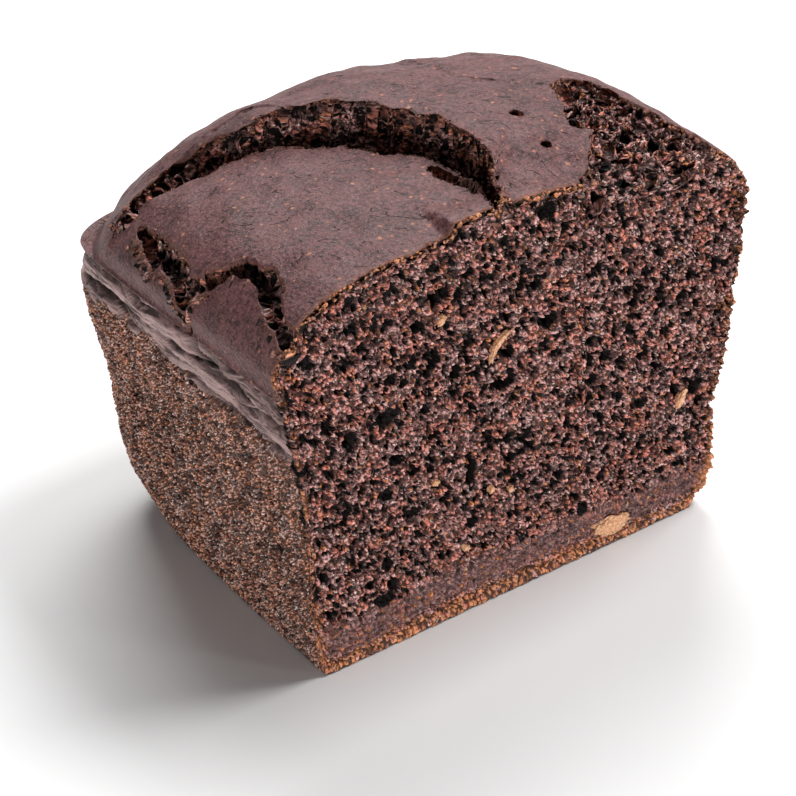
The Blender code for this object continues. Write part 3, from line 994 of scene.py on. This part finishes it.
@dataclass(frozen=True)
class SpongeFinish:
    """Open chocolate crumb: purple-grey to reddish grains, a few orange, painted highlights, painted
    near-black shade in gaps and pores.
    """
    relief: CrumbRelief = CrumbRelief()
    deep: Colour = (0.110, 0.036, 0.031)
    grey: Colour = (0.680, 0.345, 0.325)
    red: Colour = (0.820, 0.270, 0.195)
    # Colour of the painted highlights on some grains.
    light: Colour = (0.90, 0.69, 0.63)
    # Colour of the painted shade in the pores and the gaps between grains.
    dark: Colour = (0.005, 0.0020, 0.0019)
    packed: Colour = (0.170, 0.088, 0.086)
    orange: Colour = (0.82, 0.29, 0.11)
    toasted: Colour = (0.76, 0.295, 0.130)
    # Pore depths in millimetres over which the painted shade in the pores grows from none to full.
    hole_dark: tuple[float, float] = (0.10, 0.62)

    def skin(self, g: Graph, place: Any, height: Wire, hole: Wire, brown: Wire,
             gloom: Optional[Wire]) -> Skin:
        """Colour and relief of the crumb.

        Args:
            g: graph to add to.
            place: place on the unpressed surface, in millimetres.
            height: height above the base, in millimetres.
            hole: depth of the largest pores.
            brown: share of toasting.
            gloom: share of darkness deep in a crack, where the grains are painted lighter, or None.

        Returns:
            The skin.
        """
        holes, gap, (tone, hue, glint), dense = self.relief.parts(g, place, height, hole, gloom)
        body = g.mix(g.noise(place, 5.0, 3.0).rise(0.38, 0.62), self.grey, self.red)
        patchy = tone * 0.3 + g.noise(place, 1.7, 1.0) * 0.8 + g.noise(place, 0.6, 2.0, 0.65) * 0.6
        if gloom is not None:
            # Painted light: deep in a crack the grains are painted lighter, against the shade there.
            patchy = patchy + gloom * 0.42
        tint = g.mix(patchy.rise(0.64, 0.98), self.deep, body)
        # Painted highlights: pale flecks on the grains whose glint number is high.
        speck = g.noise(place, 0.30, 2.0, 0.7)
        tint = g.mix(speck.rise(0.49, 0.60) * glint.rise(0.40, 0.8), tint, self.light)
        tint = g.mix(dense * 0.7, tint, self.packed)
        tint = g.mix(hue.rise(0.90, 0.93) * 0.8, tint, self.orange)
        tint = g.mix(brown.rise(0.0, 0.7) * hue.rise(0.05, 0.45) * 0.9, tint, self.toasted)
        # Painted shade: the pores and the gaps between grains are darkened towards near black.
        hole_shade = holes.rise(*self.hole_dark)
        shade = hole_shade.larger(gap * 0.92)
        colour = g.mix(shade, tint, self.dark)
        bump = speck * 0.25 - gap * 0.45
        if gloom is not None:
            bump = bump - holes * 0.6
        return Skin(colour, 0.32 + 0.35 * tone + 0.3 * hole_shade, bump)


@dataclass(frozen=True)
class CrustFinish:
    """Mauve-grey satin crust with pinprick orange dots, fine dark nicks and painted shade deep in its
    creases.
    """
    plain: Colour = (0.160, 0.067, 0.066)
    deep: Colour = (0.040, 0.0155, 0.0165)
    dot: Colour = (0.46, 0.180, 0.095)
    fleck: Colour = (0.40, 0.235, 0.225)
    # Colour of the fine nicks, and of the painted shade in the crust's creases.
    nick_and_shade: Colour = (0.020, 0.010, 0.009)
    toasted: Colour = (0.33, 0.140, 0.072)
    roughness: float = 0.44
    nick_width: float = 0.013
    nick_turn: float = 0.9

    def skin(self, g: Graph, place: Any, brown: Wire, gloom: Wire) -> Skin:
        """Colour and relief of the crust.

        Args:
            g: graph to add to.
            place: place on the unpressed surface, in millimetres.
            brown: share of toasting.
            gloom: share of painted shade deep in a crease.

        Returns:
            The skin.
        """
        patchy = g.noise(place, 4.0, 2.0, 0.6) * 0.25 + g.noise(place, 0.8, 3.0, 0.75) * 0.75
        shady = g.noise(place, 13.0, 2.0).rise(0.46, 0.66) * 0.16
        tint = g.mix(patchy.rise(0.34, 0.62) - shady, self.deep, self.plain)
        distance, (chance, width, _) = g.cells(g.warp(place, 0.8, 0.6), 1.7, 31.0)
        dots = chance.less(0.30) * (1.0 - distance.rise(0.08, 0.15 + 0.20 * width))
        tint = g.mix(dots * 0.8, tint, self.dot)
        tint = g.mix(g.noise(place, 0.32, 2.0, 0.7).rise(0.60, 0.72) * 0.8, tint, self.fleck)
        turned = g.node("ShaderNodeVectorRotate", {"rotation_type": "Z_AXIS"},
                        {"Vector": place, "Angle": self.nick_turn})
        long = g.vector("MULTIPLY", g.warp(g.out(turned, "Vector"), 5.0, 2.5), (0.22, 1.0, 0.6))
        line = g.noise(long, 2.4, 1.0) - 0.5
        line = 1.0 - line.larger(0.0 - line).rise(self.nick_width * 0.3, self.nick_width)
        nicks = line * g.noise(place, 3.0, 1.0).rise(0.53, 0.60)
        # Painted shade: the nick colour also darkens the crust by gloom, deep in the crack, slit and tears
        # and along the ledges.
        tint = g.mix((nicks * 0.9).larger(gloom), tint, self.nick_and_shade)
        tint = g.mix(brown * (0.35 + 0.6 * g.noise(place, 0.9, 3.0)), tint, self.toasted)
        bump = g.noise(place, 0.7, 2.0, 0.7) * 0.24 - nicks * 0.25
        return Skin(tint, self.roughness + 0.25 * g.noise(place, 2.0, 2.0), bump)


@dataclass(frozen=True)
class WallFinish:
    """Tin-baked wall: ochre-brown grains, painted highlights, painted shade in gaps and pits; smooth grey
    folds above with painted shade in creases.
    """
    relief: WallRelief = WallRelief()
    ochre: Colour = (0.860, 0.370, 0.235)
    grey: Colour = (0.720, 0.420, 0.360)
    deep: Colour = (0.135, 0.048, 0.034)
    # Colour of the painted highlights on some grains.
    light: Colour = (0.95, 0.78, 0.70)
    # Colour of the painted shade in the pits and the gaps between grains.
    dark: Colour = (0.020, 0.009, 0.007)
    fold: Colour = (0.430, 0.285, 0.270)
    # Colour of the painted shade in the grooves, creases and wrinkles of the folded band.
    groove: Colour = (0.014, 0.007, 0.007)
    toasted: Colour = (0.760, 0.265, 0.110)

    def skin(self, g: Graph, place: Any, folded: Wire, brown: Wire, hole: Wire) -> Skin:
        """Colour and relief of the wall.

        Args:
            g: graph to add to.
            place: place on the unpressed surface, in millimetres.
            folded: 1 on the folded band.
            brown: share of toasting.
            hole: depth of the long grooves under the rim.

        Returns:
            The skin.
        """
        pits, gap, (tone, hue, glint) = self.relief.parts(g, place)
        body = g.mix(g.noise(place, 4.0, 4.0).rise(0.38, 0.62), self.grey, self.ochre)
        patchy = tone * 0.35 + g.noise(place, 3.0, 1.0) * 0.8 + g.noise(place, 0.8, 2.0, 0.65) * 0.8
        patchy = patchy - g.noise(place, 8.0, 1.0).rise(0.5, 0.7) * 0.14
        tint = g.mix(patchy.rise(0.78, 1.10), self.deep, body)
        # Painted highlights: pale flecks on the grains whose glint number is high.
        tint = g.mix(g.noise(place, 0.28, 2.0, 0.7).rise(0.48, 0.62) * glint.rise(0.3, 0.7), tint, self.light)
        tint = g.mix(hue.rise(0.72, 0.8) * 0.45, tint, self.toasted)
        # Painted shade: the pits and the gaps between grains are darkened.
        tint = g.mix(pits.rise(0.06, 0.35).larger(gap * 0.88), tint, self.dark)
        # Painted shade: the creases, wrinkles and long grooves of the folded band are darkened.
        _, crease, wrinkle = self.relief.folds(g, place)
        lines = (crease * 0.92).larger(wrinkle.rise(0.44, 0.62) * 0.8).larger(hole.rise(0.3, 1.0))
        smooth_part = g.mix(lines, self.fold, self.groove)
        tint = g.mix(folded, tint, smooth_part)
        tint = g.mix(brown.rise(0.0, 0.7) * hue.rise(0.05, 0.4) * (1.0 - gap) * 0.9, tint, self.toasted)
        bump = g.noise(place, 0.4, 2.0, 0.6) * 0.2 - gap * 0.4 * (1.0 - folded) - wrinkle * 0.5 * folded
        return Skin(tint, 0.42 + 0.25 * tone, bump)


@dataclass
class Palette:
    """Makes one material for each patch and one for each loose thing."""
    sponge: SpongeFinish = SpongeFinish()
    crust: CrustFinish = CrustFinish()
    wall: WallFinish = WallFinish()
    gloss: float = 0.25

    def patch(self, side: Side) -> bpy.types.Material:
        """Material of a patch: its own finish, and sponge where it is torn or cut.

        Args:
            side: the patch.

        Returns:
            The material.
        """
        material, g = self._start(side.value)
        place = self._mark(g, "home")
        brown = self._number(g, "brown")
        height = Wire(g, g.node("ShaderNodeSeparateXYZ", {}, {0: place}).outputs[2])
        hole, gloom, pore = (self._number(g, name) for name in ("hole", "gloom", "pore"))
        if side.risen:
            # On the crust the painted shadow under the lips joins the pore shade, and the large pores fade
            # deep in the crack.
            pore = (pore * (1.0 - gloom)).larger(hole)
        skin = self.sponge.skin(g, place, height, pore, brown, gloom if side.risen else None)
        if side is not Side.CUT:
            if side.risen:
                own = self.crust.skin(g, place, brown, gloom)
            else:
                own = self.wall.skin(g, place, self._number(g, "folded"), brown, hole)
            rough = self._number(g, "rough").rise(0.25, 0.6)
            skin = Skin(g.mix(rough, own.colour, skin.colour),
                        own.roughness + (skin.roughness - own.roughness) * rough,
                        own.bump + (skin.bump - own.bump) * rough)
        return self._finish(material, g, skin)

    def crumbs(self) -> bpy.types.Material:
        """Loose crumbs, some toasted."""
        material, g = self._start("loose_crumbs")
        place = self._mark(g, "home")
        tone = self._number(g, "tone")
        brown = self._number(g, "brown")
        colour = g.ramp(tone, [
            (0.0, (0.03, 0.013, 0.011)), (0.5, (0.12, 0.060, 0.052)), (0.85, (0.20, 0.11, 0.095)),
            (0.95, (0.40, 0.27, 0.23)), (1.0, (0.48, 0.22, 0.09))])
        colour = g.mix(brown * 0.65, colour, self.sponge.toasted)
        return self._finish(material, g, Skin(colour, 0.3 + 0.4 * tone, g.noise(place, 0.3, 2.0) * 0.1))

    def pale(self) -> bpy.types.Material:
        """Pale orange-tan grains."""
        material, g = self._start("pale_bits")
        place = g.vector("SCALE", g.out(g.node("ShaderNodeTexCoord"), "Object"), scale=1.0 / MM)
        speck = g.noise(place, 0.5, 4.0, 0.7)
        colour = g.ramp(speck, [
            (0.3, (0.30, 0.10, 0.045)), (0.5, (0.72, 0.36, 0.19)), (0.66, (0.88, 0.60, 0.40))])
        return self._finish(material, g, Skin(colour, 0.35 + 0.3 * speck, speck * 0.5))

    @staticmethod
    def plain(name: str, colour: Colour, roughness: float) -> bpy.types.Material:
        """An even matte material."""
        material = bpy.data.materials.new(name)
        material.use_nodes = True
        shader = material.node_tree.nodes["Principled BSDF"]
        shader.inputs["Base Color"].default_value = (*colour, 1.0)
        shader.inputs["Roughness"].default_value = roughness
        return material

    @staticmethod
    def _start(name: str) -> tuple[bpy.types.Material, Graph]:
        """An empty node material and its graph."""
        material = bpy.data.materials.new(name)
        material.use_nodes = True
        material.node_tree.nodes.clear()
        return material, Graph(material.node_tree)

    @staticmethod
    def _mark(g: Graph, name: str, output: str = "Vector") -> bpy.types.NodeSocket:
        """Read one of the mesh's marks."""
        node = g.node("ShaderNodeAttribute", {"attribute_type": "GEOMETRY", "attribute_name": name})
        return g.out(node, output)

    def _number(self, g: Graph, name: str) -> Wire:
        """Read one of the mesh's marks that is a plain number."""
        return Wire(g, self._mark(g, name, "Fac"))

    def _finish(self, material: bpy.types.Material, g: Graph, skin: Skin) -> bpy.types.Material:
        """Join a skin to a shader and the output."""
        bump = g.node("ShaderNodeBump", {}, {"Height": skin.bump, "Distance": MM, "Strength": 1.0})
        shader = g.node("ShaderNodeBsdfPrincipled", {}, {
            "Base Color": skin.colour, "Roughness": skin.roughness, "Normal": g.out(bump, "Normal"),
            "Specular IOR Level": self.gloss})
        g.node("ShaderNodeOutputMaterial", {}, {"Surface": g.out(shader, "BSDF")})
        return material


# ---------------------------------------------------------------- loose things

@dataclass(frozen=True)
class CrumbKind:
    """One scattering on bare crumb: number for each square millimetre, sizes in millimetres."""
    name: str
    side: Side
    number: float
    smallest: float
    largest: float
    deepest: float
    seed: int


@dataclass
class CrumbTree:
    """Geometry nodes that scatter small lumpy crumbs over a finished patch."""
    kinds: int = 4
    lumpiness: float = 0.75
    most_turn: float = 6.28

    def build(self, kind: CrumbKind, material: bpy.types.Material) -> bpy.types.NodeTree:
        """Make the tree.

        Args:
            kind: the scattering.
            material: finish of the crumbs.

        Returns:
            The geometry node tree.
        """
        tree = bpy.data.node_groups.new(kind.name, "GeometryNodeTree")
        tree.interface.new_socket("Cake", in_out="INPUT", socket_type="NodeSocketGeometry")
        for name in ("Number", "Smallest", "Largest"):
            tree.interface.new_socket(name, in_out="INPUT", socket_type="NodeSocketFloat")
        tree.interface.new_socket("Crumbs", in_out="OUTPUT", socket_type="NodeSocketGeometry")
        g = Graph(tree)
        source = tree.nodes.new("NodeGroupInput")
        pit = Wire(g, g.mark("pit"))
        density = g.wire(source, "Number") * (1.0 - pit.rise(0.5 * kind.deepest, kind.deepest))
        density = density * Wire(g, g.mark("rough")).rise(0.2, 0.8)
        points = g.node("GeometryNodeDistributePointsOnFaces", {"distribute_method": "RANDOM"}, {
            "Mesh": g.out(source, "Cake"), "Selection": Wire(g, g.mark("skin")).rise(0.4, 0.6),
            "Density": density * (1.0 / (MM * MM)), "Seed": kind.seed})
        size = self._random(g, g.out(source, "Smallest"), g.out(source, "Largest"), kind.seed + 1)
        turn = g.node("FunctionNodeRandomValue", {"data_type": "FLOAT_VECTOR"},
                      {"Min": (0.0, 0.0, 0.0), "Max": (self.most_turn,) * 3, "Seed": kind.seed + 2})
        placed = g.node("GeometryNodeInstanceOnPoints", {}, {
            "Points": g.out(points, "Points"), "Instance": self._chunks(g), "Pick Instance": True,
            "Rotation": g.out(turn, "Value"), "Scale": size})
        tone = self._random(g, 0.0, 1.0, kind.seed + 4)
        g.close(g.note(placed.outputs[0], "tone", tone, "INSTANCE"), material)
        return tree

    def _chunks(self, g: Graph) -> bpy.types.NodeSocket:
        """A few lumpy shapes to pick from, one millimetre across."""
        joined = g.node("GeometryNodeJoinGeometry")
        for number in range(self.kinds):
            ball = g.node("GeometryNodeMeshIcoSphere", {}, {"Radius": 0.5 * MM, "Subdivisions": 2})
            place = g.vector("SCALE", g.out(g.node("GeometryNodeInputPosition"), "Position"), scale=1.0 / MM)
            moved = g.vector("ADD", place, (5.3 * number, 1.7, 0.0))
            lumps = (g.noise(moved, 0.6, 1.0) - 0.5) * 2.6 * self.lumpiness * MM
            push = g.vector("SCALE", place, scale=lumps)
            lumpy = g.node("GeometryNodeSetPosition", {}, {"Geometry": ball.outputs[0], "Offset": push})
            single = g.node("GeometryNodeGeometryToInstance", {}, {0: lumpy.outputs[0]})
            g.tree.links.new(single.outputs[0], joined.inputs[0])
        return joined.outputs[0]

    @staticmethod
    def _random(g: Graph, low: Any, high: Any, seed: int) -> bpy.types.NodeSocket:
        """A random number for each point."""
        node = g.node("FunctionNodeRandomValue", {"data_type": "FLOAT"},
                      {"Min": low, "Max": high, "Seed": seed})
        return g.out(node, "Value")


@dataclass(frozen=True)
class Grain:
    """A pale inclusion in the cut: middle x, z, sizes, lean angle, millimetres and radians."""
    x: float
    z: float
    wide: float
    high: float
    turn: float
    bend: float = 0.0


@dataclass
class PaleGrains:
    """The pale inclusions as one piece of lumpy blobs set in the cut face."""
    grains: tuple[Grain, ...] = (
        Grain(21.3, 4.3, 8.6, 3.6, 0.05), Grain(-5.8, 56.6, 1.0, 6.2, 0.75, 0.9),
        Grain(-17.9, 66.5, 1.3, 2.0, 0.5), Grain(-19.7, 32.3, 1.4, 1.1, 0.0),
        Grain(-7.2, 25.4, 1.0, 1.5, 0.5), Grain(-2.8, 23.5, 1.3, 1.0, 0.2),
        Grain(-13.0, 14.6, 1.5, 1.1, 0.4), Grain(37.5, 26.7, 1.5, 3.6, 0.5))
    sink: float = 0.55
    thick: float = 0.9
    behind_cut: float = 0.05
    rings: int = 24

    def mesh(self, shift: np.ndarray, front: float) -> bpy.types.Mesh:
        """Make the blobs.

        Args:
            shift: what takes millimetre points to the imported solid's place.
            front: y of the cut face in metres; nothing comes out past it.

        Returns:
            The mesh in metres.
        """
        vertices: list[np.ndarray] = []
        faces: list[tuple[int, ...]] = []
        for number, one in enumerate(self.grains):
            start = sum(len(block) for block in vertices)
            points, blob = self._blob(number, one)
            points = points * MM + shift
            points[:, 1] = np.maximum(points[:, 1], front + self.behind_cut * MM)
            vertices.append(points)
            faces += [tuple(start + index for index in face) for face in blob]
        mesh = bpy.data.meshes.new("pale_grains")
        mesh.from_pydata(np.concatenate(vertices).tolist(), [], faces)
        mesh.polygons.foreach_set("use_smooth", [True] * len(faces))
        return mesh

    def _blob(self, number: int, one: Grain) -> tuple[np.ndarray, list[tuple[int, ...]]]:
        """Points and faces of one blob, a closed ball bent and made lumpy."""
        rings, around = self.rings, 2 * self.rings
        polar = np.repeat(np.pi * np.arange(1, rings) / rings, around)
        turn = np.tile(2.0 * np.pi * np.arange(around) / around, rings - 1)
        ball = np.stack([np.sin(polar) * np.cos(turn), np.sin(polar) * np.sin(turn), np.cos(polar)], axis=-1)
        ball = np.concatenate([ball, [[0.0, 0.0, 1.0], [0.0, 0.0, -1.0]]])
        lumps = grain(ball + number, 0.55, 3.0) * 0.4 + grain(ball + number, 0.2, 4.0) * 0.32
        ball = ball * (1.0 + lumps)[:, None] * np.array([one.wide, 2.0 * self.thick, one.high]) * 0.5
        ball[:, 0] += one.bend * (ball[:, 2] * 2.0 / one.high) ** 2
        cosine, sine = math.cos(one.turn), math.sin(one.turn)
        x = ball[:, 0] * cosine + ball[:, 2] * sine
        z = ball[:, 2] * cosine - ball[:, 0] * sine
        points = np.stack([x + one.x, ball[:, 1] + self.sink, z + one.z], axis=-1)
        last = (rings - 1) * around
        faces: list[tuple[int, ...]] = []
        for step in range(around):
            after = (step + 1) % around
            faces.append((last, step, after))
            faces.append((last + 1, last - around + after, last - around + step))
            for ring in range(rings - 2):
                low = ring * around
                faces.append((low + step, low + around + step, low + around + after, low + after))
        return points, faces


# ---------------------------------------------------------------- the cake

def stand(name: str, data: Any) -> bpy.types.Object:
    """Make an object and stand it in the scene."""
    made = bpy.data.objects.new(name, data)
    bpy.context.scene.collection.objects.link(made)
    return made


SLOTS = {Side.CUT: "sponge", Side.CRUST: "crust", Side.CRUST_BACK: "crust", Side.LEFT: "wall_crumb",
         Side.RIGHT: "wall_crumb", Side.END: "wall_crumb", Side.BASE: "wall_crumb"}


@dataclass
class Cake:
    """The whole cake: patches, crumbs and pale grains."""
    form: CakeForm = field(default_factory=CakeForm)
    palette: Palette = field(default_factory=Palette)
    relief: ReliefTree = field(default_factory=ReliefTree)
    crumbs: tuple[CrumbKind, ...] = (
        CrumbKind("cut_crumbs", Side.CUT, 0.30, 0.25, 0.8, 1.3, 3),
        CrumbKind("crust_crumbs", Side.CRUST, 0.40, 0.2, 0.7, 2.2, 13))
    grains: PaleGrains = field(default_factory=PaleGrains)

    def build(self) -> list[bpy.types.Object]:
        """Make every piece.

        Returns:
            The finished pieces.
        """
        low, high = (Vector(corner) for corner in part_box("cake"))
        surface = CakeSurface(self.form)
        patches = [*surface.crust(), surface.cut(), surface.wall(Side.LEFT), surface.wall(Side.RIGHT),
                   surface.wall(Side.END), surface.base()]
        left = min(patch.points[..., 0].min() for patch in patches)
        right = max(patch.points[..., 0].max() for patch in patches)
        middle = 0.5 * (low.x + high.x) - 0.5 * (left + right) * MM
        shift = np.array([middle, low.y, low.z])
        loose = self.palette.crumbs()
        pieces = []
        for patch in patches:
            tree = self.relief.build(patch.side, self.palette.patch(patch.side))
            mesh = self._grow(patch.mesh(surface.core, shift), tree, {"Depth": 1.0})
            self._keep_in(mesh, low, high)
            pieces.append(self._piece(patch.side.value, mesh, SLOTS[patch.side]))
            for kind in self.crumbs:
                if kind.side is patch.side:
                    sizes = {"Number": kind.number, "Smallest": kind.smallest, "Largest": kind.largest}
                    scattered = self._grow(mesh.copy(), CrumbTree().build(kind, loose), sizes)
                    self._keep_in(scattered, low, high)
                    pieces.append(self._piece(kind.name, scattered, "sponge"))
        grains = self.grains.mesh(shift, low.y)
        grains.materials.append(self.palette.pale())
        pieces.append(self._piece("pale_grains", grains, "pale_bits"))
        return pieces

    @staticmethod
    def _keep_in(mesh: bpy.types.Mesh, low: Vector, high: Vector) -> None:
        """Flatten what would reach past the cake's box."""
        points = np.empty(len(mesh.vertices) * 3, dtype=np.float32)
        mesh.vertices.foreach_get("co", points)
        points = np.clip(points.reshape(-1, 3), np.array(low) + INSET, np.array(high) - INSET)
        mesh.vertices.foreach_set("co", points.astype(np.float32).ravel())
        mesh.update()

    @staticmethod
    def _grow(mesh: bpy.types.Mesh, tree: bpy.types.NodeTree, sizes: dict[str, float]) -> bpy.types.Mesh:
        """Run a node tree on a mesh.

        Args:
            mesh: mesh to start from, used up.
            tree: geometry node tree.
            sizes: its named inputs.

        Returns:
            The plain mesh that comes out.
        """
        carrier = stand("carrier", mesh)
        modifier = carrier.modifiers.new("grow", "NODES")
        modifier.node_group = tree
        for item in tree.interface.items_tree:
            if item.name in sizes and item.in_out == "INPUT":
                modifier[item.identifier] = sizes[item.name]
        graph = bpy.context.evaluated_depsgraph_get()
        grown = bpy.data.meshes.new_from_object(carrier.evaluated_get(graph), depsgraph=graph)
        bpy.data.objects.remove(carrier)
        return grown

    @staticmethod
    def _piece(name: str, mesh: bpy.types.Mesh, slot: str) -> bpy.types.Object:
        """Make a finished piece, hang it under the root body and hide the imported cake."""
        piece = stand(name, mesh)
        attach(piece, "root")
        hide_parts("cake")
        return piece


# ---------------------------------------------------------------- studio

@dataclass(frozen=True)
class SoftLight:
    """A square soft light: where it stands, its side in metres, its power in watts."""
    name: str
    place: tuple[float, float, float]
    side: float
    power: float


@dataclass
class Studio:
    """White table, soft light from above and behind, and the camera."""
    floor_side: float = 6.0
    floor_colour: Colour = (0.86, 0.86, 0.86)
    surround: float = 0.125
    target: tuple[float, float, float] = (0.0, 0.0, 0.04)
    lights: tuple[SoftLight, ...] = (SoftLight("right", (0.62, -0.08, 1.04), 0.55, 12.2),
                                     SoftLight("behind", (0.36, 0.62, 0.84), 0.65, 12.0),
                                     SoftLight("low_left", (-0.80, -0.75, 0.06), 0.12, 6.2),
                                     SoftLight("low_right", (0.62, -0.95, 0.06), 0.12, 5.8))
    camera_place: tuple[float, float, float] = (-0.2984665, -0.4329948, 0.3827322)
    yaw: float = 0.607
    pitch: float = 0.6048
    roll: float = -0.0244
    lens: float = 149.25
    sensor: float = 36.0
    nearest: float = 0.01

    def build(self) -> None:
        """Set up table, light and camera."""
        half = 0.5 * self.floor_side
        mesh = bpy.data.meshes.new("floor")
        mesh.from_pydata([(-half, -half, 0.0), (half, -half, 0.0), (half, half, 0.0), (-half, half, 0.0)], [],
                         [(0, 1, 2, 3)])
        mesh.materials.append(Palette.plain("table", self.floor_colour, 0.6))
        floor = stand("floor", mesh)
        world = bpy.data.worlds.new("surround")
        world.use_nodes = True
        sky = world.node_tree.nodes["Background"].inputs
        sky["Color"].default_value = (1.0, 1.0, 1.0, 1.0)
        sky["Strength"].default_value = self.surround
        bpy.context.scene.world = world
        for light in self.lights:
            self._light(light)
        self._camera()
        bpy.context.scene.view_settings.view_transform = "Standard"

    def _light(self, light: SoftLight) -> None:
        """Hang one soft light, turned to the cake."""
        lamp = bpy.data.lights.new(light.name, "AREA")
        lamp.size = light.side
        lamp.energy = light.power
        holder = stand(light.name, lamp)
        place = Vector(light.place)
        turn = (Vector(self.target) - place).to_track_quat("-Z", "Y")
        holder.matrix_world = Matrix.Translation(place) @ turn.to_matrix().to_4x4()

    def _camera(self) -> None:
        """Stand the camera in front and to the left of the cut, looking down."""
        forward = Vector((math.sin(self.yaw) * math.cos(self.pitch),
                          math.cos(self.yaw) * math.cos(self.pitch), -math.sin(self.pitch)))
        level = Vector((math.cos(self.yaw), -math.sin(self.yaw), 0.0))
        upward = level.cross(forward)
        cosine, sine = math.cos(self.roll), math.sin(self.roll)
        right = cosine * level + sine * upward
        top = cosine * upward - sine * level
        lens = bpy.data.cameras.new("camera")
        lens.lens = self.lens
        lens.sensor_width = self.sensor
        lens.clip_start = self.nearest
        camera = stand("camera", lens)
        turn = Matrix((right, top, -forward)).transposed()
        camera.matrix_world = Matrix.Translation(Vector(self.camera_place)) @ turn.to_4x4()
        bpy.context.scene.camera = camera


def main() -> None:
    """Build cake and studio, and log the triangles of each piece."""
    logging.basicConfig(level=logging.INFO, format="%(name)s: %(message)s")
    for piece in Cake().build():
        triangles = sum(len(face.vertices) - 2 for face in piece.data.polygons)
        LOG.info("%s: %d triangles", piece.name, triangles)
    Studio().build()


if __name__ == "__main__":
    main()
